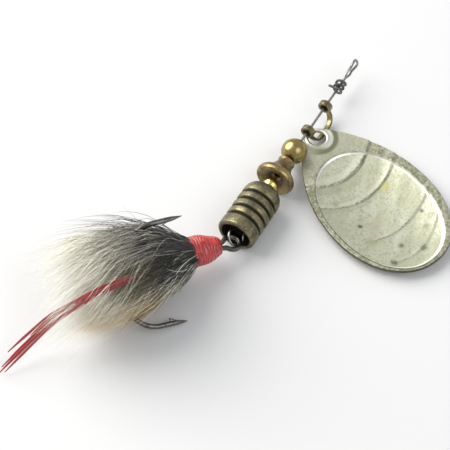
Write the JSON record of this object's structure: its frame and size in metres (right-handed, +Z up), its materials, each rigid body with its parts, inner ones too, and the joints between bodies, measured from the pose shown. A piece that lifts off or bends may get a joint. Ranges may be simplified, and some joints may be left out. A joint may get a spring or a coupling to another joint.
{
  "type": "inline spinner",
  "caption": "Inline spinner lure: blade on a clevis that turns on a wire shaft with brass beads and a grooved body, ahead of a hair-dressed treble hook.",
  "frame": {"origin": "middle of the lure's footprint on the surface it lies on", "axes": "+X along the wire shaft towards the line eye, +Y away from the blade, +Z up off the surface"},
  "size_m": [0.0686, 0.0424, 0.0141],
  "materials": {
    "spring_wire": "dull spring wire",
    "body_brass": "dark olive tarnished brass",
    "bright_brass": "bright polished brass",
    "bell_brass": "brass with purple-brown tarnish",
    "bead_brass": "smooth aged brass",
    "clevis_brass": "aged stamped brass",
    "blade_silver": "tarnished silver plate",
    "hook_steel": "dark bronzed steel",
    "red_thread": "lacquered whipping thread",
    "dark_hair": "natural hair",
    "pale_hair": "natural hair",
    "red_fibre": "dyed quill fibre"
  },
  "bodies": {
    "wire": {"shaft_wire": "spring_wire"},
    "body": {"grooved_body": "body_brass"},
    "spacer": {"small_bead": "bright_brass"},
    "bell": {"bell_bead": "bell_brass"},
    "bead": {"round_bead": "bead_brass"},
    "clevis": {"clevis": "clevis_brass"},
    "blade": {"blade": "blade_silver"},
    "treble": {"hook_pair": "hook_steel", "hook_single": "hook_steel", "thread_wrap": "red_thread", "hair_top_near": "dark_hair", "hair_top_far": "dark_hair", "hair_side_far": "dark_hair", "hair_side_near": "pale_hair", "hair_under_near": "pale_hair", "hair_under_far": "pale_hair", "red_fibre_1": "red_fibre", "red_fibre_2": "red_fibre", "red_fibre_3": "red_fibre", "red_fibre_4": "red_fibre", "red_fibre_5": "red_fibre"}
  },
  "joints": [
    {"name": "body_spin", "type": "hinge", "parent": "wire", "child": "body", "pos_m": [0.00239, 0.00441, 0.00285], "axis": [1, 0, 0], "continuous": true},
    {"name": "spacer_spin", "type": "hinge", "parent": "wire", "child": "spacer", "pos_m": [0.00794, 0.00441, 0.00285], "axis": [1, 0, 0], "continuous": true},
    {"name": "bell_spin", "type": "hinge", "parent": "wire", "child": "bell", "pos_m": [0.01072, 0.00441, 0.00285], "axis": [1, 0, 0], "continuous": true},
    {"name": "bead_slide", "type": "slide", "parent": "wire", "child": "bead", "axis": [1, 0, 0], "range_m": [0, 0.0022]},
    {"name": "clevis_spin", "type": "hinge", "parent": "bead", "child": "clevis", "pos_m": [0.02157, 0.00441, 0.00285], "axis": [1, 0, 0], "continuous": true},
    {"name": "blade_swing", "type": "hinge", "parent": "clevis", "child": "blade", "pos_m": [0.01944, 0.00311, 0.00131], "axis": [0, 0, 1], "range_deg": [0, 40]},
    {"name": "treble_swing", "type": "hinge", "parent": "wire", "child": "treble", "pos_m": [-0.00306, 0.00431, 0.00261], "axis": [0.1682, -0.1222, 0.9781], "range_deg": [-25, 90]}
  ]
}
